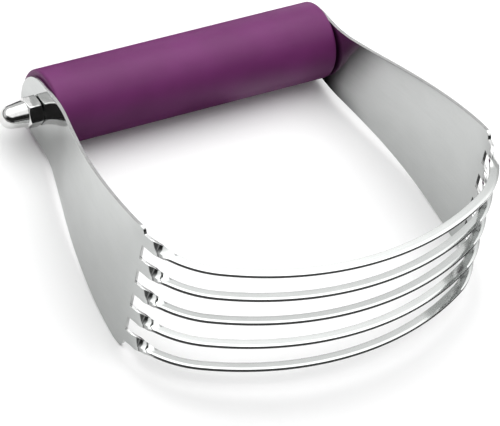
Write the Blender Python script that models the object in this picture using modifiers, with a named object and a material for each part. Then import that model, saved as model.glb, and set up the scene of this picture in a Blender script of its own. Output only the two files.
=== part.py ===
"""Pastry blender lying on its side.

One stamped steel sheet makes both arms and all five blades. A soft-grip handle is clamped
between the arms by a long bolt, whose low head is on the right and whose cap nut is on the left.

Design axes: X runs along the handle, Y from the blades to the handle, Z across the blades.
The stance empty then leans the whole tool until it rests on the handle and two arm corners.
"""

import math

import bmesh
import bpy
from mathutils import Vector

MM = 0.001
CLEARANCE = 0.3 * MM  # between neighbouring pieces
MERGE_DISTANCE = 0.001 * MM

# Handle
GRIP_RADIUS = 14.0 * MM
GRIP_LENGTH = 112.2 * MM
GRIP_BORE_RADIUS = 11.0 * MM
GRIP_EDGE_RADIUS = 1.2 * MM
CORE_BORE_RADIUS = 8.0 * MM
PLUG_FLANGE = 2.0 * MM
PLUG_DEPTH = 9.0 * MM
PLUG_WALL = 1.5 * MM

# Tie bolt with a low button head, and its cap nut, M6
SHANK_RADIUS = 3.0 * MM
HEAD_RADIUS = 5.25 * MM
HEAD_HEIGHT = 3.3 * MM
HEAD_RIM = 0.6 * MM
HEAD_TOP_RADIUS = 2.9 * MM
SOCKET_FLATS = 4.0 * MM
SOCKET_DEPTH = 2.0 * MM
THREAD_PITCH = 1.0 * MM
THREAD_DEPTH = 0.5 * MM
THREAD_TURNS = 9
NUT_FLATS = 10.0 * MM
NUT_HEX_HEIGHT = 5.2 * MM
NUT_CHAMFER = 0.7 * MM
NUT_CHAMFER_SLOPE = 0.6  # its height per radius
NUT_HEIGHT = 14.3 * MM
NUT_BORE_DEPTH = 10.2 * MM
BOLT_END_GAP = 0.9 * MM  # between the bolt and the bottom of the nut's bore
DOME_RADIUS = 4.1 * MM
DOME_TAPER = math.radians(6.5)

# Stamped sheet
SHEET = 1.2 * MM
TAB_RADIUS = 11.8 * MM
ARM_END_HALF_WIDTH = 28.1 * MM
ARM_TAPER_AT_TAB = 0.05  # growth of the half width per length of arm
ARM_TAPER_AT_END = 0.17
TOP_INSET = 1.5 * MM  # how much narrower an arm's end is on its upper side
EAR_RADIUS = 2.7 * MM
SLOT_START = 90.2 * MM  # from the handle axis, along the sheet

# Each stretch of an arm below the handle axis: its length, and how far it turns outwards
TAB_STRAIGHT = 6.1 * MM
SHOULDER = (12.3 * MM, math.radians(14.2))
ARM_STRAIGHT = 16.7 * MM
ARM_BOW = (48.2 * MM, math.radians(-14.0))
BLADE_CORNER = (35.4 * MM, math.radians(-61.9))

# Blades
BLADE_COUNT = 5
BLADE_PITCH = 10.9 * MM
STRIP_HALF_WIDTH = 2.45 * MM  # where it leaves the arm
BLADE_HALF_DEPTH = 1.65 * MM  # after the twist
TWIST_START = 93.0 * MM
TWIST_END = 102.8 * MM

ROUND_STEPS = 48
SMALL_ROUND_STEPS = 28
THREAD_STEPS = 16
GRIP_EDGE_STEPS = 3
DOME_STEPS = 8
HEAD_STEPS = 4
CUTTER_OVERSHOOT = 6.0 * MM

# Rows of the sheet's grid in each stretch
TAB_ROWS = 8
TAB_STRAIGHT_ROWS = 2
SHOULDER_ROWS = 5
ARM_STRAIGHT_ROWS = 3
ARM_BOW_ROWS = 7
ARM_END_ROWS = 2
EAR_ROWS = 5
ROOT_ROWS = 2
TWIST_ROWS = 9
CORNER_ROWS = 7
BLADE_ROWS = 12


def clear_scene():
    for item in list(bpy.data.objects):
        bpy.data.objects.remove(item, do_unlink=True)


def make_collection(name):
    collection = bpy.data.collections.new(name)
    bpy.context.scene.collection.children.link(collection)
    return collection


def make_material(name, colour, roughness, metallic):
    material = bpy.data.materials.new(name)
    material.use_nodes = True
    shader = material.node_tree.nodes["Principled BSDF"]
    shader.inputs["Base Color"].default_value = (*colour, 1.0)
    shader.inputs["Roughness"].default_value = roughness
    shader.inputs["Metallic"].default_value = metallic
    return material


def add_object(name, mesh, collection):
    item = bpy.data.objects.new(name, mesh)
    collection.objects.link(item)
    return item


def shade(mesh, sharp_degrees=35):
    mesh.shade_smooth()
    mesh.set_sharp_from_angle(angle=math.radians(sharp_degrees))


def evaluated_mesh(item, name):
    """A plain mesh of the object with its modifiers applied."""
    bpy.context.view_layer.update()
    graph = bpy.context.evaluated_depsgraph_get()
    mesh = bpy.data.meshes.new_from_object(item.evaluated_get(graph))
    mesh.name = name
    return mesh


def turned(name, profile, steps, collection, closed=False):
    """A turned solid about its own Z, from (radius, height) points that run down the outer side."""
    mesh = bpy.data.meshes.new(name)
    points = [(radius, 0.0, height) for radius, height in profile]
    edges = [(i, i + 1) for i in range(len(points) - 1)]
    if closed:
        edges.append((len(points) - 1, 0))
    mesh.from_pydata(points, edges, [])
    item = add_object(name, mesh, collection)
    screw = item.modifiers.new("turn", "SCREW")
    screw.axis = "Z"
    screw.steps = steps
    screw.render_steps = steps
    screw.use_merge_vertices = True
    screw.merge_threshold = MERGE_DISTANCE
    return item


def turned_mesh(name, profile, steps, closed=False):
    """The same solid as a shaded mesh, with no modifier left."""
    rough = turned(name + "_profile", profile, steps, bpy.context.scene.collection, closed)
    mesh = evaluated_mesh(rough, name)
    bpy.data.objects.remove(rough)
    shade(mesh)
    return mesh


def arc_points(centre, radius, start_degrees, end_degrees, count):
    """Points of an arc in the (radius, height) plane of a profile."""
    points = []
    for k in range(count + 1):
        angle = math.radians(start_degrees + (end_degrees - start_degrees) * k / count)
        points.append((centre[0] + radius * math.cos(angle), centre[1] + radius * math.sin(angle)))
    return points


def boolean(item, operation, other):
    modifier = item.modifiers.new(operation.lower(), "BOOLEAN")
    modifier.operation = operation
    modifier.object = other
    modifier.solver = "EXACT"


def as_cutter(item):
    item.hide_render = True
    item.display_type = "WIRE"


# ---------------------------------------------------------------- stamped sheet


def arm_stretches():
    """(length, turn) of every stretch of the sheet, from the handle axis to the middle of the blades."""
    stretches = [(TAB_STRAIGHT, 0.0), SHOULDER, (ARM_STRAIGHT, 0.0), ARM_BOW, BLADE_CORNER]
    x, heading = sheet_offset(), 0.0
    for length, turn in stretches:
        x += advance(length, turn, heading)[0]
        heading += turn
    last_turn = -math.pi / 2 - heading
    last_radius = x / math.cos(heading)
    return stretches + [(-last_turn * last_radius, last_turn)]


def sheet_offset():
    """Distance of the tab's middle surface from the middle of the handle."""
    return GRIP_LENGTH / 2 + CLEARANCE + SHEET / 2


def advance(length, turn, heading):
    """Step (outwards, along Y) over one stretch that starts at this heading."""
    if turn == 0:
        return length * math.sin(heading), -length * math.cos(heading)
    radius = length / turn
    out = radius * (math.cos(heading) - math.cos(heading + turn))
    down = radius * (math.sin(heading) - math.sin(heading + turn))
    return out, down


def sheet_point(station):
    """Middle surface of the right arm at this distance along it: (x, y, heading)."""
    x, y, heading = sheet_offset(), 0.0, 0.0
    if station <= 0:
        return x, -station, heading
    left = station
    for length, turn in arm_stretches():
        part = min(1.0, left / length)
        step = advance(length * part, turn * part, heading)
        x, y, heading = x + step[0], y + step[1], heading + turn * part
        left -= length
        if left <= 0:
            break
    return x, y, heading


def half_width(station):
    """Half width of the blank: a round tab, then a smooth flare down to the slots."""
    if station <= 0:
        return math.sqrt(max(0.0, TAB_RADIUS**2 - station**2))
    u = min(1.0, station / SLOT_START)
    rise = u * u * (3 - 2 * u)
    tab_slope = ARM_TAPER_AT_TAB * SLOT_START * u * (1 - u) ** 2
    end_slope = ARM_TAPER_AT_END * SLOT_START * u * u * (u - 1)
    return TAB_RADIUS + (ARM_END_HALF_WIDTH - TAB_RADIUS) * rise + tab_slope + end_slope


def edge_half_width(station):
    """The same with the arm's two corners rounded off."""
    into_ear = station - (SLOT_START - EAR_RADIUS)
    if into_ear <= 0:
        return half_width(station)
    into_ear = min(into_ear, EAR_RADIUS)
    return half_width(station) - EAR_RADIUS + math.sqrt(EAR_RADIUS**2 - into_ear**2)


def top_inset(station):
    """How far the upper side of an arm stays inside the mirror image of its lower side."""
    return TOP_INSET * min(1.0, max(0.0, station) / SLOT_START) ** 2


def smooth(value):
    value = min(1.0, max(0.0, value))
    return value * value * (3 - 2 * value)


def spread(start, end, count):
    """count even steps after start, up to and with end."""
    return [start + (end - start) * (k + 1) / count for k in range(count)]


def half_stations():
    """Rows of the blank from the top of a tab to the middle of the blades, closer where it bends."""
    stretches = arm_stretches()
    ends = [sum(length for length, _ in stretches[: k + 1]) for k in range(len(stretches))]
    ear_start = SLOT_START - EAR_RADIUS
    quarter = math.pi / 2
    rows = [-TAB_RADIUS * math.cos(quarter * k / TAB_ROWS) for k in range(TAB_ROWS + 1)]
    rows += spread(0.0, ends[0], TAB_STRAIGHT_ROWS)
    rows += spread(ends[0], ends[1], SHOULDER_ROWS)
    rows += spread(ends[1], ends[2], ARM_STRAIGHT_ROWS)
    rows += spread(ends[2], ends[3], ARM_BOW_ROWS)
    rows += spread(ends[3], ear_start, ARM_END_ROWS)
    rows += [ear_start + EAR_RADIUS * math.sin(angle) for angle in spread(0.0, quarter, EAR_ROWS)]
    rows += spread(SLOT_START, TWIST_START, ROOT_ROWS)
    rows += spread(TWIST_START, TWIST_END, TWIST_ROWS)
    rows += spread(TWIST_END, ends[4], CORNER_ROWS)
    rows += spread(ends[4], ends[5], BLADE_ROWS)
    return rows


def strip_edges():
    """(middle, side) of each blade's two edges, from -Z to +Z."""
    edges = []
    for blade in range(BLADE_COUNT):
        middle = (blade - (BLADE_COUNT - 1) / 2) * BLADE_PITCH
        edges += [(middle, -1), (middle, 1)]
    return edges


def formed_point(side, station, line):
    """Where a point of the flat blank lies once the sheet is bent and its strips are twisted."""
    x, y, heading = sheet_point(station)
    edges = strip_edges()
    if line in (0, len(edges) + 1):
        outline = edge_half_width(station)
        return Vector((side * x, y, -outline if line == 0 else outline - top_inset(station)))
    middle, edge = edges[line - 1]
    if station <= SLOT_START:
        share = half_width(station) / ARM_END_HALF_WIDTH
        return Vector((side * x, y, (middle + edge * STRIP_HALF_WIDTH) * share))
    turned_in = smooth((station - TWIST_START) / (TWIST_END - TWIST_START))
    twist = turned_in * math.pi / 2
    reach = edge * (STRIP_HALF_WIDTH + (BLADE_HALF_DEPTH - STRIP_HALF_WIDTH) * turned_in)
    outwards = Vector((side * math.cos(heading), math.sin(heading), 0))
    flat = Vector((side * x, y, middle + reach * math.cos(twist)))
    return flat - outwards * reach * math.sin(twist)


def blade_frame_mesh():
    """The blank as a grid: its rows run along the sheet, its columns along the strips and slots.

    A face is one band of rows high. It is cut out where it is past both arms, in a slot's column.
    """
    half = half_stations()
    rows = [(-1, station) for station in half] + [(1, station) for station in half[-2::-1]]
    columns = 2 * BLADE_COUNT + 1
    bands = len(rows) - 1
    sheet = bmesh.new()
    bmesh.ops.create_grid(sheet, x_segments=columns, y_segments=bands, size=0.5)

    def cell(point):
        return (point.x + 0.5) * columns, (point.y + 0.5) * bands

    cut_out = []
    for face in sheet.faces:
        column, band = cell(face.calc_center_median())
        first, second = rows[int(band)][1], rows[int(band) + 1][1]
        past_arm = min(first, second) > SLOT_START - MERGE_DISTANCE
        if past_arm and int(column) % 2 == 0:
            cut_out.append(face)
    for point in sheet.verts:
        line, row = cell(point.co)
        side, station = rows[round(row)]
        point.co = formed_point(side, station, round(line))
    bmesh.ops.delete(sheet, geom=cut_out, context="FACES")
    bmesh.ops.remove_doubles(sheet, verts=sheet.verts, dist=MERGE_DISTANCE)
    bmesh.ops.recalc_face_normals(sheet, faces=sheet.faces)
    mesh = bpy.data.meshes.new("blade_frame")
    sheet.to_mesh(mesh)
    sheet.free()
    return mesh


def make_blade_frame(parts, cutters):
    frame = add_object("blade_frame", blade_frame_mesh(), parts)
    thickness = frame.modifiers.new("sheet", "SOLIDIFY")
    thickness.thickness = SHEET
    thickness.offset = 0.0
    thickness.use_even_offset = True
    bpy.ops.mesh.primitive_cylinder_add(
        vertices=SMALL_ROUND_STEPS,
        radius=SHANK_RADIUS + CLEARANCE,
        depth=2 * (sheet_offset() + CUTTER_OVERSHOOT),
        rotation=(0, math.pi / 2, 0),
    )
    hole = bpy.context.object
    hole.name = "bolt_hole"
    for collection in hole.users_collection:
        collection.objects.unlink(hole)
    cutters.objects.link(hole)
    as_cutter(hole)
    boolean(frame, "DIFFERENCE", hole)
    frame.data.materials.append(make_material("polished_steel", (0.62, 0.63, 0.62), 0.22, 1.0))
    frame.data.shade_smooth()
    frame.data.set_sharp_from_angle(angle=math.radians(50))
    return frame, hole


# ---------------------------------------------------------------- handle


def grip_profile():
    top = GRIP_LENGTH / 2
    edge = GRIP_RADIUS - GRIP_EDGE_RADIUS
    upper = arc_points((edge, top - GRIP_EDGE_RADIUS), GRIP_EDGE_RADIUS, 90, 0, GRIP_EDGE_STEPS)
    lower = arc_points((edge, -top + GRIP_EDGE_RADIUS), GRIP_EDGE_RADIUS, 0, -90, GRIP_EDGE_STEPS)
    return [(GRIP_BORE_RADIUS, top)] + upper + lower + [(GRIP_BORE_RADIUS, -top)]


def core_profile():
    outer = GRIP_BORE_RADIUS - CLEARANCE
    top = GRIP_LENGTH / 2 - PLUG_FLANGE - CLEARANCE
    return [(CORE_BORE_RADIUS, top), (outer, top), (outer, -top), (CORE_BORE_RADIUS, -top)]


def plug_profile():
    """A stepped plug with a hollow spigot and a boss for the bolt. Height 0 is its outer face."""
    bore = SHANK_RADIUS + CLEARANCE
    flange = GRIP_BORE_RADIUS - CLEARANCE
    spigot = CORE_BORE_RADIUS - CLEARANCE
    return [
        (bore, 0.0),
        (flange, 0.0),
        (flange, -PLUG_FLANGE),
        (spigot, -PLUG_FLANGE),
        (spigot, -PLUG_DEPTH),
        (spigot - PLUG_WALL, -PLUG_DEPTH),
        (spigot - PLUG_WALL, -PLUG_FLANGE),
        (bore + PLUG_WALL, -PLUG_FLANGE),
        (bore + PLUG_WALL, -PLUG_DEPTH),
        (bore, -PLUG_DEPTH),
    ]


def seat():
    """X of the face under the bolt's head. The nut's base is as far out on the left."""
    return sheet_offset() + SHEET / 2 + CLEARANCE


def bolt_reach():
    """How far the bolt's threaded end reaches from the middle of the handle."""
    return seat() + NUT_BORE_DEPTH - BOLT_END_GAP


def thread_crests(end):
    """Heights of the thread's crests below the bolt's end. The thread is drawn as ring grooves."""
    return [end - THREAD_PITCH * (turn + 1) for turn in range(THREAD_TURNS)]


def bolt_profile():
    """The bolt with its head up and the middle of the handle at height 0."""
    top = seat() + HEAD_HEIGHT
    rim = seat() + HEAD_RIM
    profile = [(0.0, top)]
    for k in range(HEAD_STEPS + 1):
        angle = math.pi / 2 * k / HEAD_STEPS
        radius = HEAD_TOP_RADIUS + (HEAD_RADIUS - HEAD_TOP_RADIUS) * math.sin(angle)
        profile.append((radius, rim + (top - rim) * math.cos(angle)))
    profile += [(HEAD_RADIUS, seat()), (SHANK_RADIUS, seat())]
    root = SHANK_RADIUS - THREAD_DEPTH
    end = bolt_reach()
    for crest in reversed(thread_crests(end)):
        profile += [(SHANK_RADIUS, -crest), (root, -crest - THREAD_PITCH / 2)]
    return profile + [(root, -end), (0.0, -end)]


def bolt_mesh(cutters):
    bolt = turned("bolt_profile", bolt_profile(), SMALL_ROUND_STEPS, cutters)
    corner = SOCKET_FLATS / 2 / math.cos(math.pi / 6)
    bpy.ops.mesh.primitive_cylinder_add(
        vertices=6,
        radius=corner,
        depth=2 * SOCKET_DEPTH,
        location=(0, 0, seat() + HEAD_HEIGHT),
    )
    socket = bpy.context.object
    boolean(bolt, "DIFFERENCE", socket)
    mesh = evaluated_mesh(bolt, "tie_bolt")
    bpy.data.objects.remove(bolt)
    bpy.data.objects.remove(socket)
    shade(mesh)
    return mesh


def nut_bore_profile():
    """The blind bore of a nut seated at height 0, its grooves in step with the bolt's crests."""
    end = bolt_reach() - seat()
    mouth = SHANK_RADIUS + CLEARANCE
    root = mouth - THREAD_DEPTH
    profile = [(0.0, NUT_BORE_DEPTH), (root, NUT_BORE_DEPTH)]
    for crest in thread_crests(end):
        profile.append((mouth, crest))
        if crest > THREAD_PITCH / 2:
            profile.append((root, crest - THREAD_PITCH / 2))
    return profile + [(mouth, -NUT_CHAMFER), (0.0, -NUT_CHAMFER)]


def dome_profile():
    """A round tip on a slightly tapered body, from the tip down into the hexagon."""
    tip = NUT_HEIGHT - DOME_RADIUS
    foot = NUT_HEX_HEIGHT / 2
    profile = arc_points((0.0, tip), DOME_RADIUS, 90, math.degrees(DOME_TAPER), DOME_STEPS)
    radius, height = profile[-1]
    foot_radius = radius + (height - foot) * math.tan(DOME_TAPER)
    return profile + [(foot_radius, foot), (0.0, foot)]


def cap_nut_mesh(cutters):
    """A hexagon with chamfered corners and a domed cap, on a blind bore. Height 0 is its base."""
    corner = NUT_FLATS / 2 / math.cos(math.pi / 6)
    hexagon_depth = 2 * (NUT_HEX_HEIGHT + CUTTER_OVERSHOOT)
    bpy.ops.mesh.primitive_cylinder_add(vertices=6, radius=corner, depth=hexagon_depth)
    nut = bpy.context.object
    slope = NUT_CHAMFER * NUT_CHAMFER_SLOPE
    envelope = [
        (0.0, NUT_HEX_HEIGHT),
        (corner - NUT_CHAMFER, NUT_HEX_HEIGHT),
        (corner, NUT_HEX_HEIGHT - slope),
        (corner, slope / 2),
        (corner - NUT_CHAMFER / 2, 0.0),
        (0.0, 0.0),
    ]
    shapes = (
        ("INTERSECT", turned("nut_envelope", envelope, SMALL_ROUND_STEPS, cutters)),
        ("UNION", turned("nut_dome", dome_profile(), SMALL_ROUND_STEPS, cutters)),
        ("DIFFERENCE", turned("nut_bore", nut_bore_profile(), THREAD_STEPS, cutters)),
    )
    for operation, shape in shapes:
        as_cutter(shape)
        boolean(nut, operation, shape)
    mesh = evaluated_mesh(nut, "cap_nut")
    bpy.data.objects.remove(nut)
    shade(mesh, 25)
    return mesh


def make_turned_parts(parts, cutters):
    """Handle, bolt and nut. Each is turned about Z and laid along X."""
    grip = make_material("purple_soft_grip", (0.17, 0.045, 0.15), 0.5, 0.0)
    core = make_material("black_core_plastic", (0.03, 0.03, 0.032), 0.55, 0.0)
    fastener = make_material("bright_fastener_steel", (0.66, 0.66, 0.66), 0.12, 1.0)
    plug_mesh = turned_mesh("end_plug", plug_profile(), SMALL_ROUND_STEPS, closed=True)
    plug_end = GRIP_LENGTH / 2
    pieces = (
        ("grip_sleeve", turned_mesh("grip", grip_profile(), ROUND_STEPS, closed=True), 0, 1, grip),
        ("handle_core", turned_mesh("core", core_profile(), ROUND_STEPS, closed=True), 0, 1, core),
        ("end_plug_left", plug_mesh, -plug_end, -1, core),
        ("end_plug_right", plug_mesh, plug_end, 1, core),
        ("tie_bolt", bolt_mesh(cutters), 0, 1, fastener),
        ("cap_nut", cap_nut_mesh(cutters), -seat(), -1, fastener),
    )
    made = []
    for name, mesh, x, outwards, material in pieces:
        item = add_object(name, mesh, parts)
        item.location.x = x
        item.rotation_euler.y = outwards * math.pi / 2
        if not mesh.materials:
            mesh.materials.append(material)
        made.append(item)
    return made


# ---------------------------------------------------------------- stance


def lean_angle():
    """How far the tool tips until the handle and the lower arm corners touch one plane."""
    leans = []
    for station in half_stations():
        if not 0 < station <= SLOT_START:
            continue
        _, y, heading = sheet_point(station)
        low = edge_half_width(station)
        for face in (-SHEET / 2, SHEET / 2):
            back = -(y + face * math.sin(heading))
            reach = math.hypot(back, low)
            if reach > GRIP_RADIUS:
                leans.append(math.atan2(low, back) - math.asin(GRIP_RADIUS / reach))
    return max(leans)


def stand_on_ground(items, cutter):
    """Leans the tool and puts the middle of its box over the origin, with its lowest point at 0."""
    stance = bpy.data.objects.new("stance", None)
    bpy.context.scene.collection.objects.link(stance)
    for item in items + [cutter]:
        item.parent = stance
    stance.rotation_euler.x = -lean_angle()
    bpy.context.view_layer.update()
    graph = bpy.context.evaluated_depsgraph_get()
    places = []
    for item in items:
        shown = item.evaluated_get(graph)
        places += [shown.matrix_world @ vertex.co for vertex in shown.data.vertices]
    low = [min(place[axis] for place in places) for axis in range(3)]
    high = [max(place[axis] for place in places) for axis in range(3)]
    stance.location = (-(low[0] + high[0]) / 2, -(low[1] + high[1]) / 2, -low[2])


def main():
    clear_scene()
    parts = make_collection("pastry_blender")
    cutters = make_collection("cutters")
    frame, hole = make_blade_frame(parts, cutters)
    items = [frame] + make_turned_parts(parts, cutters)
    stand_on_ground(items, hole)


main()
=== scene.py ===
"""The looks of a pastry blender lying on its side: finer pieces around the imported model,
node materials, a white studio and the camera.

Design axes: X runs along the handle, Y from the blades to the handle, Z across the blades.
The stance then leans the tool until it rests on the handle and two arm corners.
"""

import math

import bmesh
import bpy
from mathutils import Matrix, Vector


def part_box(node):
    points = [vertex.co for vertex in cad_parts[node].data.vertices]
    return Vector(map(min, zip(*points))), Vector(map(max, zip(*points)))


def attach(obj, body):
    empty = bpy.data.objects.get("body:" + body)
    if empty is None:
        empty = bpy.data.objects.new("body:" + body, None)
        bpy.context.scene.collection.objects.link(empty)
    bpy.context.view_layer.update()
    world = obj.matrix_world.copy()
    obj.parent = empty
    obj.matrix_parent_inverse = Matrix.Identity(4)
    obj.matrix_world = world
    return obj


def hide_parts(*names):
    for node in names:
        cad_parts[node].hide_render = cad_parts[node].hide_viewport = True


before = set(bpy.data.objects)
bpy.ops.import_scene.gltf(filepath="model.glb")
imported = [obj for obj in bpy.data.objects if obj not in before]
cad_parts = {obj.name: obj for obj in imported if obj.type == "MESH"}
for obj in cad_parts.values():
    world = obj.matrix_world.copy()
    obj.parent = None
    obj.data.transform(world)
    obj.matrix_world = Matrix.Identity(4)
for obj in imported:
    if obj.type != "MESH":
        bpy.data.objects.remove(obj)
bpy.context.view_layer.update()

MM = 0.001
BODY = "root"
QUARTER = math.pi / 2

# Gaps between neighbouring pieces
CLEARANCE = 0.3 * MM
MERGE_DISTANCE = 0.001 * MM

# Edges over this angle stay sharp, in degrees
SHEET_SHARP = 40
GRIP_SHARP = 40
FASTENER_SHARP = 50

# Stamped sheet
SHEET = 1.2 * MM
SHEET_EDGE_RADIUS = 0.08 * MM
SHEET_EDGE_SEGMENTS = 3
TAB_RADIUS = 11.8 * MM
TAB_TOP_ARC = math.radians(45)  # half of the tab's arc that the top row of the grid follows
ARM_END_HALF_WIDTH = 28.1 * MM
ARM_TAPER_AT_TAB = 0.05  # growth of the half width per length of arm
ARM_TAPER_AT_END = 0.17
TOP_INSET = 1.5 * MM  # how much narrower an arm's end is on its upper side
EAR_RADIUS = 2.7 * MM
EAR_ANGLES = [math.radians(degrees) for degrees in (18, 36, 52, 66, 90)]
SLOT_START = 90.2 * MM  # from the handle axis, along the sheet

# Each stretch of an arm below the handle axis: its length, and how far it turns outwards
TAB_STRAIGHT = 6.1 * MM
SHOULDER = (12.3 * MM, math.radians(14.2))
ARM_STRAIGHT = 16.7 * MM
ARM_BOW = (48.2 * MM, math.radians(-14.0))
BLADE_CORNER = (35.4 * MM, math.radians(-61.9))

# Blades
BLADE_COUNT = 5
BLADE_PITCH = 10.9 * MM
STRIP_HALF_WIDTH = 2.45 * MM  # where it leaves the arm
BLADE_HALF_DEPTH = 1.65 * MM  # after the twist
TWIST_START = 93.0 * MM
TWIST_END = 102.8 * MM
BEVEL_SHARE = 0.27  # of a blade's depth, along its outer edge
BEVEL_ANGLE = math.radians(4)
BLADE_ROLLS = [math.radians(degrees) for degrees in (1.4, -0.3, 1.0, 0.3, -2.0)]  # listed scatter

# Rows of the sheet's grid in each stretch, and columns in each strip and web
TAB_ROWS = 16
TAB_STRAIGHT_ROWS = 4
SHOULDER_ROWS = 22
ARM_STRAIGHT_ROWS = 6
ARM_BOW_ROWS = 28
ARM_END_ROWS = 4
ROOT_ROWS = 6
TWIST_ROWS = 28
CORNER_ROWS = 30
BLADE_ROWS = 36
STRIP_SHARES = (0.0, BEVEL_SHARE, BEVEL_SHARE + 0.05, 0.66)
WEB_SHARES = (0.0, 1 / 3, 2 / 3)

# Bolt hole
HOLE_RADIUS = 3.3 * MM
HOLE_STEPS = 64

# Handle
GRIP_BORE_RADIUS = 11.0 * MM
GRIP_EDGE_RADIUS = 1.2 * MM
GRIP_STEPS = 192
GRIP_RINGS = 40
GRIP_EDGE_STEPS = 10

# Cap nut, M6
NUT_FLATS = 10.0 * MM
NUT_HEX_HEIGHT = 5.2 * MM
NUT_HEIGHT = 14.3 * MM
NUT_CHAMFER = 0.9 * MM
NUT_TOP_SLOPE = math.radians(30)
NUT_BASE_SLOPE = math.radians(25)
NUT_BORE_DEPTH = 10.2 * MM
DOME_RADIUS = 4.1 * MM
DOME_TAPER = math.radians(6.5)
DOME_FILLET = 0.22 * MM
DOME_FIRST_RING = 87  # degrees up the dome, the ring next to its pole
DOME_STEPS = 28
DOME_SIDE_STEPS = 6
DOME_FILLET_STEPS = 5
NUT_TOP_STEPS = 12
NUT_SIDE_STEPS = 6
NUT_BASE_STEPS = 8
NUT_STEPS = 240
NUT_CORNER_SHARPNESS = 70  # the higher, the sharper the nut's corners

# Tie bolt with a low button head, M6
SHANK_RADIUS = 3.0 * MM
SHANK_ROUND = 0.5 * MM
HEAD_RADIUS = 5.25 * MM
HEAD_HEIGHT = 3.3 * MM
HEAD_RIM = 0.6 * MM
HEAD_TOP_RADIUS = 2.9 * MM
HEAD_EDGE_RADIUS = 0.15 * MM
SOCKET_FLATS = 4.0 * MM
SOCKET_DEPTH = 2.0 * MM
SOCKET_STEPS = 4
HEAD_STEPS = 14
HEAD_EDGE_STEPS = 4
THREAD_PITCH = 1.0 * MM
THREAD_DEPTH = 0.5 * MM
THREAD_TURNS = 9
BOLT_END_GAP = 0.9 * MM
BOLT_STEPS = 96

# Colours, the darker and the lighter of each mix
SHEET_COLOURS = (0.495, 0.507, 0.50, 1), (0.525, 0.537, 0.53, 1)
PUNCHED_COLOURS = (0.56, 0.565, 0.56, 1), (0.64, 0.645, 0.64, 1)
FASTENER_COLOURS = (0.63, 0.63, 0.625, 1), (0.71, 0.71, 0.705, 1)
GRIP_COLOURS = (0.100, 0.009, 0.082, 1), (0.120, 0.012, 0.100, 1)
PLASTIC_COLOURS = (0.026, 0.026, 0.028, 1), (0.036, 0.036, 0.038, 1)
BOARD_COLOURS = (0.95, 0.95, 0.95, 1), (0.97, 0.97, 0.97, 1)
# The painted shade that only reflections see on the floor
PAINTED_SHADE_COLOUR = (0.02, 0.02, 0.02, 1)

# Studio
FLOOR_SIZE = 12.0
SOFTBOX_PLACE = (0.15, 0.35, 1.40)
SOFTBOX_SIZE = (2.4, 2.0)
SOFTBOX_POWER = 32.0
CAMERA_WHITE = 1.05  # the world as the camera sees it
FILL = 0.60  # the world as dull surfaces see it
CEILING_LEVEL = 1.6
DARKEST_LEVEL = 0.03
FRONT_PAINTED_SHADE = 0.95  # painted shade in front of the blades, as reflections see the floor there, 1 being black
FAINT_PAINTED_SHADE = 0.10  # and the painted shade of its two faint areas on the left
PAINTED_GLOW = 0.04  # emission of its brighter area, a painted glow that only reflections see

# Camera, at the photograph's viewing angle
CAMERA_AIM = Vector((0.0090, -0.0479, -0.0246))  # from the handle's middle
CAMERA_DISTANCE = 1.3667
CAMERA_AZIMUTH = math.radians(-44.57)
CAMERA_ELEVATION = math.radians(48.50)
CAMERA_ROLL = math.radians(20.99)
CAMERA_LENS = 280.0
CAMERA_SENSOR = 36.0


# ---------------------------------------------------------------- the sheet's shape


GRIP_LOW, GRIP_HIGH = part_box("grip_sleeve")
GRIP_HALF_LENGTH = (GRIP_HIGH.x - GRIP_LOW.x) / 2
GRIP_RADIUS = (GRIP_HIGH.z - GRIP_LOW.z) / 2

# From the handle's middle to the tab's middle surface, and to the faces under the nut and the head
SHEET_OFFSET = GRIP_HALF_LENGTH + CLEARANCE + SHEET / 2
SEAT = SHEET_OFFSET + SHEET / 2 + CLEARANCE


def advance(length, turn, heading):
    """Step (outwards, along Y) over one stretch that starts at this heading."""
    if turn == 0:
        return length * math.sin(heading), -length * math.cos(heading)
    radius = length / turn
    out = radius * (math.cos(heading) - math.cos(heading + turn))
    down = radius * (math.sin(heading) - math.sin(heading + turn))
    return out, down


def arm_stretches():
    """(length, turn) of every stretch of the sheet, from the handle axis to the blades' middle."""
    stretches = [(TAB_STRAIGHT, 0.0), SHOULDER, (ARM_STRAIGHT, 0.0), ARM_BOW, BLADE_CORNER]
    x, heading = SHEET_OFFSET, 0.0
    for length, turn in stretches:
        x += advance(length, turn, heading)[0]
        heading += turn
    last_turn = -QUARTER - heading
    last_radius = x / math.cos(heading)
    return stretches + [(-last_turn * last_radius, last_turn)]


STRETCHES = arm_stretches()


def sheet_point(station):
    """Middle surface of the right arm at this distance along it: (x, y, heading)."""
    x, y, heading = SHEET_OFFSET, 0.0, 0.0
    if station <= 0:
        return x, -station, heading
    left = station
    for length, turn in STRETCHES:
        part = min(1.0, left / length)
        step = advance(length * part, turn * part, heading)
        x, y, heading = x + step[0], y + step[1], heading + turn * part
        left -= length
        if left <= 0:
            break
    return x, y, heading


def half_width(station):
    """Half width of the blank below the handle axis: a smooth flare down to the slots."""
    u = min(1.0, station / SLOT_START)
    rise = u * u * (3 - 2 * u)
    tab_slope = ARM_TAPER_AT_TAB * SLOT_START * u * (1 - u) ** 2
    end_slope = ARM_TAPER_AT_END * SLOT_START * u * u * (u - 1)
    return TAB_RADIUS + (ARM_END_HALF_WIDTH - TAB_RADIUS) * rise + tab_slope + end_slope


def edge_half_width(station):
    """The same with the arm's two corners rounded off."""
    into_ear = station - (SLOT_START - EAR_RADIUS)
    if into_ear <= 0:
        return half_width(station)
    into_ear = min(into_ear, EAR_RADIUS)
    return half_width(station) - EAR_RADIUS + math.sqrt(EAR_RADIUS**2 - into_ear**2)


def top_inset(station):
    """How far the upper side of an arm stays inside the mirror image of its lower side."""
    return TOP_INSET * min(1.0, max(0.0, station) / SLOT_START) ** 2


def smooth(value):
    value = min(1.0, max(0.0, value))
    return value * value * (3 - 2 * value)


def spread(start, end, count):
    """count even steps after start, up to and with end."""
    return [start + (end - start) * (k + 1) / count for k in range(count)]


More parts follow.
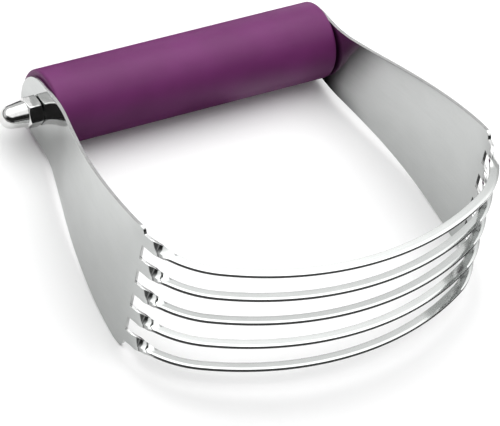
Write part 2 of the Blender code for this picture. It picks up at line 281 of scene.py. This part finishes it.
def half_rows():
    """Rows of the blank from a tab's top to the blades' middle: ("tab", 1 to 0), then
    ("sheet", station)."""
    ends = [sum(length for length, _ in STRETCHES[: k + 1]) for k in range(len(STRETCHES))]
    ear_start = SLOT_START - EAR_RADIUS
    stations = spread(0.0, ends[0], TAB_STRAIGHT_ROWS)
    stations += spread(ends[0], ends[1], SHOULDER_ROWS)
    stations += spread(ends[1], ends[2], ARM_STRAIGHT_ROWS)
    stations += spread(ends[2], ends[3], ARM_BOW_ROWS)
    stations += spread(ends[3], ear_start, ARM_END_ROWS)
    stations += [ear_start + EAR_RADIUS * math.sin(angle) for angle in EAR_ANGLES]
    stations += spread(SLOT_START, TWIST_START, ROOT_ROWS)
    stations += spread(TWIST_START, TWIST_END, TWIST_ROWS)
    stations += spread(TWIST_END, ends[4], CORNER_ROWS)
    stations += spread(ends[4], ends[5], BLADE_ROWS)
    tab = [("tab", 1 - k / TAB_ROWS) for k in range(TAB_ROWS + 1)]
    return tab + [("sheet", station) for station in stations]


def column_lines():
    """Every line of the grid as (web or strip number, share across it). Odd numbers are strips."""
    lines = []
    for number in range(2 * BLADE_COUNT + 1):
        lines += [(number, share) for share in (STRIP_SHARES if number % 2 else WEB_SHARES)]
    return lines + [(2 * BLADE_COUNT, 1.0)]


def main_lines(station):
    """Z of the outline and of every strip's edges on the uncut part of the blank, from -Z to +Z."""
    outline = edge_half_width(station)
    share = half_width(station) / ARM_END_HALF_WIDTH
    lines = [-outline]
    for blade in range(BLADE_COUNT):
        middle = (blade - (BLADE_COUNT - 1) / 2) * BLADE_PITCH
        lines += [(middle - STRIP_HALF_WIDTH) * share, (middle + STRIP_HALF_WIDTH) * share]
    return lines + [outline - top_inset(station)]


def flat_z(station, line):
    number, share = line
    lines = main_lines(station)
    return lines[number] + (lines[number + 1] - lines[number]) * share


def tab_point(rise, line):
    """(station, z) on the round tab. rise goes from 0 at the handle axis to 1 at the tab's top."""
    across = flat_z(0.0, line) / TAB_RADIUS
    edge_angle = QUARTER - (QUARTER - TAB_TOP_ARC) * rise
    straight = math.sin(edge_angle) * across
    bowed = math.sin(edge_angle) * math.sin(TAB_TOP_ARC * across) / math.sin(TAB_TOP_ARC)
    bulge = rise * (math.cos(TAB_TOP_ARC * across) - math.cos(TAB_TOP_ARC))
    z = TAB_RADIUS * (straight * (1 - rise) + bowed * rise)
    return -TAB_RADIUS * (math.cos(edge_angle) + bulge), z


def formed_point(side, row, line):
    """Where a point of the blank lies once the sheet is bent and its strips are twisted, with its
    place (station, z) on the flat blank."""
    kind, value = row
    if kind == "tab":
        station, z = tab_point(value, line)
        x, y, _ = sheet_point(station)
        return Vector((side * x, y, z)), (station, z)
    station = value
    x, y, heading = sheet_point(station)
    number, share = line
    in_slots = station > SLOT_START + MERGE_DISTANCE
    if not in_slots:
        z = flat_z(station, line)
        return Vector((side * x, y, z)), (station, z)
    blade = min((number - 1) // 2 if number % 2 else number // 2 - (share == 0), BLADE_COUNT - 1)
    across = 2 * share - 1 if number % 2 else 1.0
    middle = (max(blade, 0) - (BLADE_COUNT - 1) / 2) * BLADE_PITCH
    turned_in = smooth((station - TWIST_START) / (TWIST_END - TWIST_START))
    twist = turned_in * (QUARTER + BLADE_ROLLS[max(blade, 0)])
    reach = across * (STRIP_HALF_WIDTH + (BLADE_HALF_DEPTH - STRIP_HALF_WIDTH) * turned_in)
    into_bevel = max(0.0, 2 * BEVEL_SHARE - 1 - across) * BLADE_HALF_DEPTH
    drop = into_bevel * math.tan(BEVEL_ANGLE) * turned_in
    along_z = reach * math.cos(twist) - drop * math.sin(twist)
    out = -reach * math.sin(twist) - drop * math.cos(twist)
    outwards = Vector((side * math.cos(heading), math.sin(heading), 0))
    return Vector((side * x, y, middle + along_z)) + outwards * out, (station, middle + reach)


def blank_mesh():
    """The formed sheet as an open grid with its slots cut out. Its UV map is the flat blank,
    in metres."""
    half = half_rows()
    rows = [(-1, row) for row in half] + [(1, row) for row in half[-2::-1]]
    lines = column_lines()
    columns, bands = len(lines) - 1, len(rows) - 1
    sheet = bmesh.new()
    bmesh.ops.create_grid(sheet, x_segments=columns, y_segments=bands, size=0.5)
    flat_map = sheet.loops.layers.uv.new("blank")
    flat_places = {}

    def cell(point):
        return (point.x + 0.5) * columns, (point.y + 0.5) * bands

    cut_out = []
    slots_begin = SLOT_START - MERGE_DISTANCE
    for face in sheet.faces:
        column, band = (int(value) for value in cell(face.calc_center_median()))
        in_web = lines[column][0] % 2 == 0
        ends = (rows[band][1], rows[band + 1][1])
        past_arm = all(kind == "sheet" and value > slots_begin for kind, value in ends)
        if in_web and past_arm:
            cut_out.append(face)
    for point in sheet.verts:
        column, row = (round(value) for value in cell(point.co))
        side, place = rows[row]
        point.co, flat_places[point.index] = formed_point(side, place, lines[column])
    for face in sheet.faces:
        for loop in face.loops:
            loop[flat_map].uv = flat_places[loop.vert.index]
    bmesh.ops.delete(sheet, geom=cut_out, context="FACES")
    bmesh.ops.recalc_face_normals(sheet, faces=sheet.faces)
    mesh = bpy.data.meshes.new("blank")
    sheet.to_mesh(mesh)
    sheet.free()
    return mesh


def lean_angle():
    """How far the tool tips until the handle and the lower arm corners touch one plane."""
    leans = []
    for kind, station in half_rows():
        if kind == "tab" or station > SLOT_START + MERGE_DISTANCE:
            continue
        _, y, heading = sheet_point(station)
        low = edge_half_width(station)
        for face in (-SHEET / 2, SHEET / 2):
            back = -(y + face * math.sin(heading))
            reach = math.hypot(back, low)
            if reach > GRIP_RADIUS:
                leans.append(math.atan2(low, back) - math.asin(GRIP_RADIUS / reach))
    return max(leans)


def stance():
    """Design axes to the row frame: the handle's middle is the middle of its CAD box."""
    return Matrix.Translation((GRIP_LOW + GRIP_HIGH) / 2) @ Matrix.Rotation(-lean_angle(), 4, "X")


STANCE = stance()
TURNED_STANCE = STANCE @ Matrix.Rotation(QUARTER, 4, "Y")  # a turned piece's +Z to the handle's +X


# ---------------------------------------------------------------- mesh helpers


def add_object(name, mesh):
    item = bpy.data.objects.new(name, mesh)
    bpy.context.scene.collection.objects.link(item)
    return item


def evaluated_mesh(item, name):
    """A plain mesh of the object with its modifiers applied."""
    bpy.context.view_layer.update()
    graph = bpy.context.evaluated_depsgraph_get()
    mesh = bpy.data.meshes.new_from_object(item.evaluated_get(graph))
    mesh.name = name
    return mesh


def shade(item, sharp_degrees):
    """Smooth shading that keeps flat faces flat and edges over the angle sharp."""
    item.data.shade_smooth()
    item.data.set_sharp_from_angle(angle=math.radians(sharp_degrees))
    weighted = item.modifiers.new("flat_faces", "WEIGHTED_NORMAL")
    weighted.keep_sharp = True


def lathe(name, rings, steps):
    """A closed solid about Z from rings (height, radius of angle) that run from pole to pole, outer
    side first. A ring of None closes the solid at that height. A torus-like solid has none."""
    solid = bmesh.new()
    made = []
    for height, radius in rings:
        if radius is None:
            made.append([solid.verts.new((0, 0, height))] * steps)
            continue
        ring = []
        for k in range(steps):
            angle = 2 * math.pi * k / steps
            reach = radius(angle)
            ring.append(solid.verts.new((reach * math.cos(angle), reach * math.sin(angle), height)))
        made.append(ring)
    pairs = list(zip(made, made[1:]))
    if rings[0][1] is not None:
        pairs.append((made[-1], made[0]))
    for upper, lower in pairs:
        for k in range(steps):
            corners = [upper[k], lower[k], lower[(k + 1) % steps], upper[(k + 1) % steps]]
            solid.faces.new(list(dict.fromkeys(corners)))
    bmesh.ops.recalc_face_normals(solid, faces=solid.faces)
    mesh = bpy.data.meshes.new(name)
    solid.to_mesh(mesh)
    solid.free()
    return mesh


def round_ring(radius):
    return lambda angle: radius


def arc(centre, radius, start_degrees, end_degrees, count):
    """Points (radius, height) of an arc in a turned profile."""
    points = []
    for k in range(count + 1):
        angle = math.radians(start_degrees + (end_degrees - start_degrees) * k / count)
        points.append((centre[0] + radius * math.cos(angle), centre[1] + radius * math.sin(angle)))
    return points


# ---------------------------------------------------------------- pieces


def make_blade_frame(steel, sheared):
    rough = add_object("blank", blank_mesh())
    rough.data.materials.append(steel)
    rough.data.materials.append(sheared)
    thickness = rough.modifiers.new("sheet", "SOLIDIFY")
    thickness.thickness = SHEET
    thickness.offset = 0.0
    thickness.use_even_offset = True
    thickness.material_offset_rim = 1
    thick = add_object("thick_sheet", evaluated_mesh(rough, "thick_sheet"))
    round_outline(thick.data)

    drill = add_object("drill", lathe("drill", drill_rings(), HOLE_STEPS))
    drill.matrix_world = Matrix.Rotation(QUARTER, 4, "Y")
    hole = thick.modifiers.new("bolt_hole", "BOOLEAN")
    hole.operation = "DIFFERENCE"
    hole.object = drill
    hole.solver = "EXACT"

    item = add_object("stamped_frame", evaluated_mesh(thick, "stamped_frame"))
    item.data.transform(STANCE)
    for helper in (rough, thick, drill):
        bpy.data.objects.remove(helper)
    shade(item, SHEET_SHARP)
    return item


def round_outline(mesh):
    """Rounds the long edges where the sheet's faces meet its punched edge."""
    solid = bmesh.new()
    solid.from_mesh(mesh)
    outline = [e for e in solid.edges if len({face.material_index for face in e.link_faces}) == 2]
    bmesh.ops.bevel(
        solid, geom=outline, affect="EDGES", offset=SHEET_EDGE_RADIUS, offset_type="OFFSET",
        segments=SHEET_EDGE_SEGMENTS, profile=0.5, clamp_overlap=False, material=0,
    )
    solid.to_mesh(mesh)
    solid.free()


def drill_rings():
    reach = 2 * SHEET_OFFSET
    wall = round_ring(HOLE_RADIUS)
    return [(reach, None), (reach, wall), (-reach, wall), (-reach, None)]


def turned_piece(name, rings, steps, place, material, sharp_degrees):
    item = add_object(name, lathe(name, rings, steps))
    item.data.transform(place)
    item.data.materials.append(material)
    shade(item, sharp_degrees)
    return item


def make_grip(material):
    top, radius = GRIP_HALF_LENGTH, GRIP_RADIUS
    edge = radius - GRIP_EDGE_RADIUS
    profile = [(GRIP_BORE_RADIUS, top), ((GRIP_BORE_RADIUS + edge) / 2, top)]
    inner_top = top - GRIP_EDGE_RADIUS
    profile += arc((edge, inner_top), GRIP_EDGE_RADIUS, 90, 0, GRIP_EDGE_STEPS)
    profile += [(radius, height) for height in spread(inner_top, -inner_top, GRIP_RINGS)]
    profile += arc((edge, -inner_top), GRIP_EDGE_RADIUS, 0, -90, GRIP_EDGE_STEPS)[1:]
    profile += [((GRIP_BORE_RADIUS + edge) / 2, -top), (GRIP_BORE_RADIUS, -top)]
    rings = [(height, round_ring(reach)) for reach, height in profile]
    return turned_piece("soft_grip", rings, GRIP_STEPS, TURNED_STANCE, material, GRIP_SHARP)


def hexagon_ring(flats, limit):
    """A hexagon's section with its corners cut back and rounded by a limiting circle."""
    sixth = math.pi / 3

    def radius(angle):
        from_flat = (angle + sixth / 2) % sixth - sixth / 2
        flat = flats / 2 / math.cos(from_flat)
        return flat * (1 + (flat / limit) ** NUT_CORNER_SHARPNESS) ** (-1 / NUT_CORNER_SHARPNESS)

    return radius


def corner_radius(flats):
    return flats / 2 / math.cos(math.pi / 6)


def dome_profile():
    """(radius, height) from the dome's tip over its slightly tapered body to its fillet."""
    centre = NUT_HEIGHT - DOME_RADIUS
    profile = arc((0, centre), DOME_RADIUS, DOME_FIRST_RING, math.degrees(DOME_TAPER), DOME_STEPS)
    radius, height = profile[-1]
    foot = NUT_HEX_HEIGHT + DOME_FILLET
    for step in spread(height, foot, DOME_SIDE_STEPS):
        profile.append((radius + (height - step) * math.tan(DOME_TAPER), step))
    fillet_centre = (profile[-1][0] + DOME_FILLET, foot)
    return profile + arc(fillet_centre, DOME_FILLET, 180, 270, DOME_FILLET_STEPS)[1:]


def nut_rings():
    """The nut from the dome's pole over the hexagon to the base, then up its threaded bore."""
    corner = corner_radius(NUT_FLATS)
    rings = [(NUT_HEIGHT, None)]
    rings += [(height, round_ring(radius)) for radius, height in dome_profile()]
    flat_top = dome_profile()[-1][0]
    slope = (corner - flat_top) * math.tan(NUT_TOP_SLOPE)
    for share in spread(0, 1, NUT_TOP_STEPS):
        limit = flat_top + (corner - flat_top) * share
        rings.append((NUT_HEX_HEIGHT - slope * share, hexagon_ring(NUT_FLATS, limit)))
    base_slope = NUT_CHAMFER * math.tan(NUT_BASE_SLOPE)
    sides = spread(NUT_HEX_HEIGHT - slope, base_slope, NUT_SIDE_STEPS)
    rings += [(height, hexagon_ring(NUT_FLATS, corner)) for height in sides]
    for share in spread(0, 1, NUT_BASE_STEPS):
        limit = corner - NUT_CHAMFER * share
        rings.append((base_slope * (1 - share), hexagon_ring(NUT_FLATS, limit)))
    rings += [(height, round_ring(radius)) for height, radius in bore_profile()]
    return rings + [(NUT_BORE_DEPTH, None)]


def thread_crests():
    """Heights of the thread's crests above the nut's base, from the bolt's end down."""
    end = NUT_BORE_DEPTH - BOLT_END_GAP
    return [end - THREAD_PITCH * (turn + 1) for turn in range(THREAD_TURNS)]


def bore_profile():
    """(height, radius) up the bore, its grooves in step with the bolt's thread."""
    mouth = HOLE_RADIUS
    root = mouth - THREAD_DEPTH
    profile = [(0.0, mouth)]
    for crest in reversed(thread_crests()):
        if crest > THREAD_PITCH / 2:
            profile += [(crest - THREAD_PITCH / 2, root)]
        if crest > 0:
            profile += [(crest, mouth)]
    return profile + [(NUT_BORE_DEPTH - THREAD_PITCH / 2, root), (NUT_BORE_DEPTH, root / 2)]


def make_nut(material):
    place = STANCE @ Matrix.Translation((-SEAT, 0, 0)) @ Matrix.Rotation(-QUARTER, 4, "Y")
    return turned_piece("domed_cap_nut", nut_rings(), NUT_STEPS, place, material, FASTENER_SHARP)


def head_rings():
    """The button head from the middle of its hexagon socket over the rim to its bearing face."""
    top, rim = SEAT + HEAD_HEIGHT, SEAT + HEAD_RIM
    floor, wall = top - SOCKET_DEPTH, corner_radius(SOCKET_FLATS)
    socket = hexagon_ring(SOCKET_FLATS, wall)
    rings = [(floor - SHANK_ROUND, None), (floor, socket)]
    rings += [(height, socket) for height in spread(floor, top - SHANK_ROUND / 2, SOCKET_STEPS)]
    rings.append((top, round_ring(HEAD_TOP_RADIUS)))
    for angle in spread(0, QUARTER, HEAD_STEPS):
        radius = HEAD_TOP_RADIUS + (HEAD_RADIUS - HEAD_TOP_RADIUS) * math.sin(angle)
        rings.append((rim + (top - rim) * math.cos(angle), round_ring(radius)))
    centre = (HEAD_RADIUS - HEAD_EDGE_RADIUS, SEAT + HEAD_EDGE_RADIUS)
    edge = arc(centre, HEAD_EDGE_RADIUS, 0, -90, HEAD_EDGE_STEPS)
    return rings + [(height, round_ring(radius)) for radius, height in edge]


def bolt_rings():
    """The head, then the shank down to the thread and its chamfered end."""
    root = SHANK_RADIUS - THREAD_DEPTH
    end = SEAT + NUT_BORE_DEPTH - BOLT_END_GAP
    shank = [(SEAT, SHANK_RADIUS + SHANK_ROUND), (SEAT - SHANK_ROUND, SHANK_RADIUS)]
    for crest in reversed(thread_crests()):
        shank += [(-SEAT - crest, SHANK_RADIUS), (-SEAT - crest - THREAD_PITCH / 2, root)]
    shank += [(-end, root - SHANK_ROUND), (-end, None)]
    return head_rings() + [(height, radius and round_ring(radius)) for height, radius in shank]


def make_bolt(material):
    place = TURNED_STANCE
    return turned_piece("button_head_bolt", bolt_rings(), BOLT_STEPS, place, material, FASTENER_SHARP)


# ---------------------------------------------------------------- materials


class Nodes:
    """A node tree under construction, for a material or the world."""

    def __init__(self, owner):
        owner.use_nodes = True
        self.tree = owner.node_tree
        self.tree.nodes.clear()

    def add(self, kind, inputs=None, **settings):
        """Adds a node. An input is a value, or the socket that feeds it."""
        node = self.tree.nodes.new(kind)
        for key, value in settings.items():
            setattr(node, key, value)
        for key, value in (inputs or {}).items():
            if isinstance(value, bpy.types.NodeSocket):
                self.tree.links.new(value, node.inputs[key])
            else:
                node.inputs[key].default_value = value
        return node

    def math(self, operation, result, *others):
        """Takes the values together two by two, from the first on."""
        for other in others:
            result = self.add("ShaderNodeMath", {0: result, 1: other}, operation=operation).outputs[0]
        return result

    def ramp(self, value, low, high, out_low=0.0, out_high=1.0):
        """Smooth step of a value from one range to another."""
        levels = {"Value": value, "From Min": low, "From Max": high}
        levels.update({"To Min": out_low, "To Max": out_high})
        return self.add("ShaderNodeMapRange", levels, interpolation_type="SMOOTHSTEP").outputs[0]

    def stretched(self, source, scale):
        return self.add("ShaderNodeMapping", {"Vector": source, "Scale": scale}).outputs[0]

    def noise(self, source, scale, detail=3.0, roughness=0.5):
        levels = {"Vector": source, "Scale": scale, "Detail": detail, "Roughness": roughness}
        return self.add("ShaderNodeTexNoise", levels).outputs[0]

    def blend(self, factor, first, second):
        """Colour between two colours."""
        node = self.add("ShaderNodeMix", data_type="RGBA")
        for index, value in ((0, factor), (6, first), (7, second)):
            if isinstance(value, bpy.types.NodeSocket):
                self.tree.links.new(value, node.inputs[index])
            else:
                node.inputs[index].default_value = value
        return node.outputs[2]

    def bump(self, height, distance, strength, below=None):
        levels = {"Height": height, "Distance": distance, "Strength": strength}
        if below is not None:
            levels["Normal"] = below
        return self.add("ShaderNodeBump", levels).outputs[0]

    def surface(self, inputs):
        shader = self.add("ShaderNodeBsdfPrincipled", inputs)
        self.add("ShaderNodeOutputMaterial", {"Surface": shader.outputs[0]})


def polished_steel():
    """Stainless sheet: buffed along its length, with faint waviness and handling marks."""
    material = bpy.data.materials.new("polished_stainless")
    nodes = Nodes(material)
    blank = nodes.add("ShaderNodeUVMap", uv_map="blank").outputs[0]
    grain = nodes.noise(nodes.stretched(blank, (250, 9000, 1)), 1.0, 4.0, 0.65)
    streaks = nodes.noise(nodes.stretched(blank, (60, 1600, 1)), 1.0, 3.0, 0.6)
    patches = nodes.noise(nodes.stretched(blank, (90, 110, 1)), 1.0, 4.0, 0.55)
    waves = nodes.noise(nodes.stretched(blank, (28, 36, 1)), 1.0, 1.0, 0.4)
    tone = nodes.math("MULTIPLY", nodes.math("ADD", streaks, patches), 0.5)
    colour = nodes.blend(nodes.ramp(tone, 0.35, 0.65), *SHEET_COLOURS)
    marks = nodes.ramp(patches, 0.52, 0.72, 0.0, 0.03)
    roughness = nodes.math("ADD", nodes.ramp(grain, 0.3, 0.7, 0.09, 0.12), marks)
    wavy = nodes.bump(waves, 0.0004, 0.03)
    normal = nodes.bump(grain, 0.00002, 0.07, wavy)
    nodes.surface({"Base Color": colour, "Metallic": 1.0, "Roughness": roughness, "Normal": normal})
    return material


def sheared_steel():
    """The sheet's punched edges: a duller band with fine lines across the thickness."""
    material = bpy.data.materials.new("sheared_stainless_edge")
    nodes = Nodes(material)
    place = nodes.add("ShaderNodeTexCoord").outputs["Object"]
    blank = nodes.add("ShaderNodeUVMap", uv_map="blank").outputs[0]
    lines = nodes.noise(nodes.stretched(blank, (7000, 1500, 1)), 1.0, 3.0, 0.6)
    patches = nodes.noise(place, 350.0, 4.0, 0.6)
    colour = nodes.blend(nodes.ramp(patches, 0.35, 0.65), *PUNCHED_COLOURS)
    roughness = nodes.ramp(lines, 0.3, 0.7, 0.12, 0.22)
    normal = nodes.bump(lines, 0.00003, 0.25)
    nodes.surface({"Base Color": colour, "Metallic": 1.0, "Roughness": roughness, "Normal": normal})
    return material


def bright_fastener_steel():
    """Turned and polished stainless: faint rings round the axis, small dents and wear."""
    material = bpy.data.materials.new("bright_fastener_stainless")
    nodes = Nodes(material)
    place = nodes.add("ShaderNodeTexCoord").outputs["Object"]
    rings = nodes.noise(nodes.stretched(place, (5200, 120, 120)), 1.0, 2.0, 0.5)
    wear = nodes.noise(place, 420.0, 5.0, 0.6)
    dents = nodes.noise(place, 900.0, 2.0, 0.5)
    colour = nodes.blend(nodes.ramp(wear, 0.4, 0.7), *FASTENER_COLOURS)
    fine, worn = nodes.ramp(rings, 0.3, 0.7, 0.05, 0.10), nodes.ramp(wear, 0.5, 0.75, 0.0, 0.10)
    roughness = nodes.math("ADD", fine, worn)
    soft = nodes.bump(dents, 0.0002, 0.05)
    normal = nodes.bump(rings, 0.00002, 0.12, soft)
    nodes.surface({"Base Color": colour, "Metallic": 1.0, "Roughness": roughness, "Normal": normal})
    return material


def purple_soft_touch():
    """Satin soft-touch rubber: a fine moulded grain, with slightly duller rubbed areas."""
    material = bpy.data.materials.new("purple_soft_touch")
    nodes = Nodes(material)
    place = nodes.add("ShaderNodeTexCoord").outputs["Object"]
    grain = nodes.noise(place, 3800.0, 3.0, 0.55)
    clouds = nodes.noise(place, 55.0, 4.0, 0.5)
    rubbed = nodes.noise(nodes.stretched(place, (60, 140, 140)), 1.0, 4.0, 0.6)
    colour = nodes.blend(nodes.ramp(clouds, 0.3, 0.7), *GRIP_COLOURS)
    fine = nodes.ramp(grain, 0.3, 0.7, 0.48, 0.56)
    roughness = nodes.math("ADD", fine, nodes.ramp(rubbed, 0.45, 0.75, 0.0, 0.06))
    normal = nodes.bump(grain, 0.00006, 0.22)
    nodes.surface({
        "Base Color": colour, "Roughness": roughness, "Normal": normal, "Specular IOR Level": 0.45,
    })
    return material


def moulded_plastic():
    """Plain dark moulded plastic, for the core and the plugs."""
    material = bpy.data.materials.new("black_moulded_plastic")
    nodes = Nodes(material)
    place = nodes.add("ShaderNodeTexCoord").outputs["Object"]
    spark = nodes.noise(place, 1500.0, 3.0, 0.6)
    flow = nodes.noise(nodes.stretched(place, (40, 160, 160)), 1.0, 3.0, 0.5)
    colour = nodes.blend(nodes.ramp(flow, 0.3, 0.7), *PLASTIC_COLOURS)
    roughness = nodes.ramp(spark, 0.3, 0.7, 0.45, 0.6)
    normal = nodes.bump(spark, 0.00005, 0.3)
    nodes.surface({"Base Color": colour, "Roughness": roughness, "Normal": normal})
    return material


def white_floor_painted_reflections():
    """Matt white board. Only reflections see painted shade on some areas of it, and a painted glow
    that makes one area slightly brighter. The areas' edges are in metres."""
    material = bpy.data.materials.new("white_board_painted_reflections")
    nodes = Nodes(material)
    place = nodes.add("ShaderNodeTexCoord").outputs["Object"]
    x, y, _ = nodes.add("ShaderNodeSeparateXYZ", {0: place}).outputs
    reflected = nodes.add("ShaderNodeLightPath").outputs["Is Glossy Ray"]

    # Painted shade, seen only in reflections, in front of the blades, up to a parabola that follows
    # their bow
    bow = nodes.math("SUBTRACT", nodes.math("MULTIPLY", x, x, 5.0), 0.072)
    before_bow = nodes.math("SUBTRACT", nodes.math("MINIMUM", bow, -0.045), y)
    front = nodes.math("MULTIPLY", nodes.ramp(before_bow, -0.002, 0.004), FRONT_PAINTED_SHADE)

    # Painted shadow of the handle, seen only in reflections: from under the handle backwards,
    # starting further forward beside the right arm
    by_arm = nodes.ramp(x, 0.048, 0.060, 0.0, 0.012)
    shadow = nodes.ramp(nodes.math("ADD", y, by_arm), 0.032, 0.056)

    # Painted shade between the arms, seen only in reflections, up to a slanted edge, which lies
    # further to the right by the blades
    slant = nodes.math("ADD", x, nodes.math("MULTIPLY", y, 0.1))
    by_blades = nodes.math("MULTIPLY", nodes.ramp(x, 0.050, 0.042), nodes.ramp(y, -0.012, -0.024))
    inside = nodes.math("MAXIMUM", nodes.ramp(slant, 0.031, 0.022), by_blades)
    inside = nodes.math("MULTIPLY", inside, nodes.ramp(y, -0.052, -0.040))
    left_end, right_end = nodes.ramp(x, -0.058, -0.048), nodes.ramp(x, 0.100, 0.085)
    painted_inner_shade = nodes.math("MULTIPLY", nodes.math("MAXIMUM", shadow, inside), left_end, right_end)

    # Faint painted shade, seen only in reflections, below the nut's base and behind it, and outside
    # the left arm's lower end
    nut_left, nut_right = nodes.ramp(x, -0.063, -0.060), nodes.ramp(x, -0.048, -0.054)
    by_nut = nodes.math("MULTIPLY", nut_left, nodes.ramp(y, 0.026, 0.036), nut_right)
    left_low = nodes.math("MULTIPLY", nodes.ramp(x, -0.056, -0.064), nodes.ramp(y, 0.025, -0.005))
    faint = nodes.math("MULTIPLY", nodes.math("MAXIMUM", by_nut, left_low), FAINT_PAINTED_SHADE)

    # All the painted shade together, which only reflections see
    dark = nodes.math("MAXIMUM", front, painted_inner_shade, faint)
    fibre = nodes.noise(place, 900.0, 3.0, 0.6)
    board = nodes.blend(fibre, *BOARD_COLOURS)
    colour = nodes.blend(nodes.math("MULTIPLY", dark, reflected), board, PAINTED_SHADE_COLOUR)

    # A painted glow, seen only in reflections, brightens the area outside the left arm, by the handle
    left, high = nodes.ramp(x, -0.054, -0.064), nodes.ramp(y, 0.015, 0.050)
    nodes.surface({
        "Base Color": colour, "Roughness": 0.9, "Specular IOR Level": 0.1,
        "Emission Color": (1, 1, 1, 1),
        "Emission Strength": nodes.math("MULTIPLY", left, high, reflected, PAINTED_GLOW),
    })
    return material


# ---------------------------------------------------------------- studio


def make_floor():
    bpy.ops.mesh.primitive_plane_add(size=FLOOR_SIZE)
    floor = bpy.context.object
    floor.name = "floor"
    floor.data.materials.append(white_floor_painted_reflections())


def make_world():
    """White to the camera and an even fill on dull surfaces. Reflections see a bright ceiling that
    reaches lower at the back, more light overhead at the back, a pale back wall that is dimmer low
    on its left, a haze along the far left horizon, and a dark front."""
    world = bpy.data.worlds.new("studio")
    bpy.context.scene.world = world
    nodes = Nodes(world)
    direction = nodes.add("ShaderNodeTexCoord").outputs["Generated"]
    x, y, z = nodes.add("ShaderNodeSeparateXYZ", {0: direction}).outputs
    to_back = nodes.ramp(y, -0.35, 0.25)

    wall = nodes.ramp(z, 0.05, 0.32, nodes.ramp(x, -0.35, 0.05, 0.12, 0.80), 0.95)
    back_wall = nodes.math("MULTIPLY", to_back, wall)
    haze = nodes.math("MULTIPLY", nodes.ramp(z, 0.20, 0.0, 0.0, 0.55), nodes.ramp(x, -0.35, -0.75))
    walls = nodes.math("ADD", nodes.math("MAXIMUM", back_wall, haze), DARKEST_LEVEL)

    rim = nodes.math("ADD", nodes.math("MULTIPLY", to_back, -0.14), 0.70)
    ceiling = nodes.ramp(nodes.math("SUBTRACT", z, rim), -0.06, 0.10)
    overhead = nodes.math("MULTIPLY", nodes.ramp(z, 0.60, 0.72), nodes.ramp(y, 0.0, 0.40))
    lights = nodes.math("ADD", nodes.math("MULTIPLY", ceiling, CEILING_LEVEL), overhead)

    ray = nodes.add("ShaderNodeLightPath").outputs
    seen = nodes.math("MULTIPLY", ray["Is Camera Ray"], CAMERA_WHITE - FILL)
    reflected = nodes.math("SUBTRACT", nodes.math("ADD", walls, lights), FILL)
    strength = nodes.math("ADD", seen, FILL, nodes.math("MULTIPLY", ray["Is Glossy Ray"], reflected))
    background = nodes.add("ShaderNodeBackground", {"Strength": strength})
    nodes.add("ShaderNodeOutputWorld", {"Surface": background.outputs[0]})


def make_softbox():
    """A large light above that neither the camera nor reflections see."""
    light = bpy.data.lights.new("ceiling_softbox", "AREA")
    light.shape = "RECTANGLE"
    light.size, light.size_y = SOFTBOX_SIZE
    light.energy = SOFTBOX_POWER
    item = bpy.data.objects.new("ceiling_softbox", light)
    bpy.context.scene.collection.objects.link(item)
    item.location = SOFTBOX_PLACE
    item.rotation_euler = (-Vector(SOFTBOX_PLACE)).to_track_quat("-Z", "Y").to_euler()
    item.visible_camera = False
    item.visible_glossy = False


def make_studio():
    make_floor()
    make_world()
    make_softbox()
    bpy.context.scene.view_settings.view_transform = "Standard"


def make_camera():
    data = bpy.data.cameras.new("camera")
    data.lens = CAMERA_LENS
    data.sensor_width = CAMERA_SENSOR
    item = bpy.data.objects.new("camera", data)
    bpy.context.scene.collection.objects.link(item)
    level = math.cos(CAMERA_ELEVATION)
    across, forward = math.sin(CAMERA_AZIMUTH) * level, -math.cos(CAMERA_AZIMUTH) * level
    back = Vector((across, forward, math.sin(CAMERA_ELEVATION)))
    turn = back.to_track_quat("Z", "Y").to_matrix().to_4x4()
    roll = Matrix.Rotation(CAMERA_ROLL, 4, "Z")
    aim = (GRIP_LOW + GRIP_HIGH) / 2 + CAMERA_AIM
    item.matrix_world = Matrix.Translation(aim + back * CAMERA_DISTANCE) @ turn @ roll
    bpy.context.scene.camera = item


def make_pieces():
    """(piece, material slot, CAD node that it stands for)."""
    fastener = bright_fastener_steel()
    return [
        (make_blade_frame(polished_steel(), sheared_steel()), "blade_steel", "blade_frame"),
        (make_grip(purple_soft_touch()), "purple_grip", "grip_sleeve"),
        (make_nut(fastener), "fastener_steel", "cap_nut"),
        (make_bolt(fastener), "fastener_steel", "tie_bolt"),
    ]


def dress_inner_nodes():
    plastic = moulded_plastic()
    for name in ("handle_core", "end_plug_left", "end_plug_right"):
        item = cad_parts[name]
        item.data.materials.clear()
        item.data.materials.append(plastic)


for piece, slot, node in make_pieces():
    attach(piece, BODY)
    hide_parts(node)
dress_inner_nodes()
make_studio()
make_camera()
